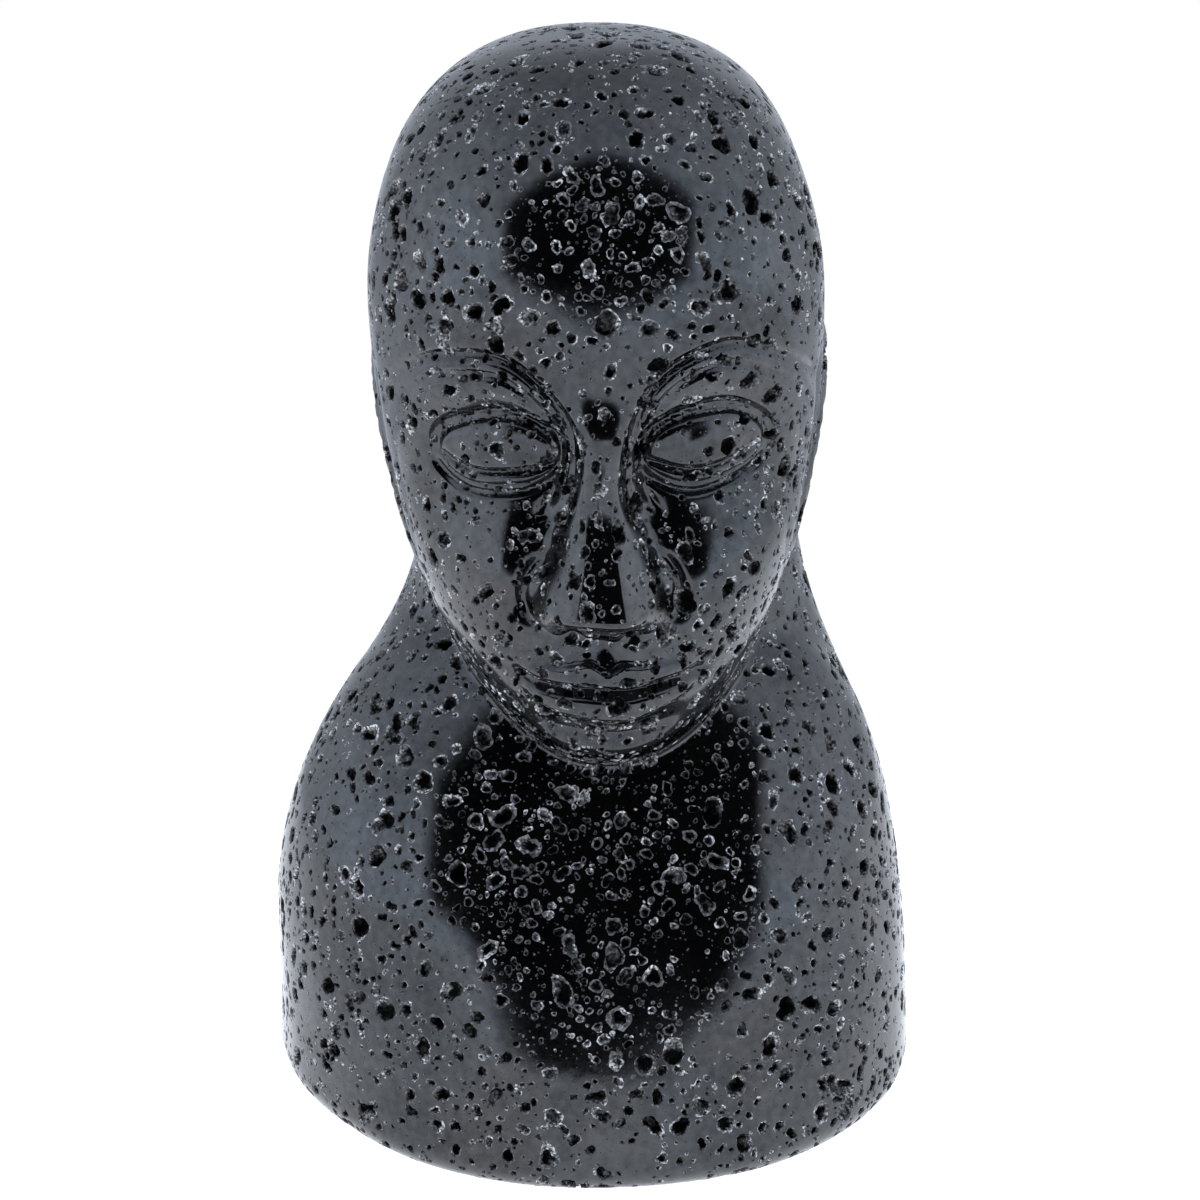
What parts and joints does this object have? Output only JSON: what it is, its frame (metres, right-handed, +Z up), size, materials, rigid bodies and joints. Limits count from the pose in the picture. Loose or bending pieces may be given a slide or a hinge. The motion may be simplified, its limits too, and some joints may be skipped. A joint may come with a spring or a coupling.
{
  "type": "tiki figure",
  "caption": "Tiki bust with a tall egg-shaped head, closed eyes and sloping shoulders, carved and polished from one block of dark pitted lava stone, on a thin felt pad.",
  "frame": {"origin": "middle of the figure's footprint, on the surface that it stands on", "axes": "+Z up, the face looks along -Y, and +X is to the right of someone who faces the figure"},
  "size_m": [0.0656, 0.057, 0.11],
  "materials": {
    "polished_lava_stone": "polished, with open unpolished pores",
    "black_felt": "matte felt"
  },
  "bodies": {
    "root": {"carved_stone_bust": "polished_lava_stone", "felt_base_pad": "black_felt"}
  },
  "joints": []
}
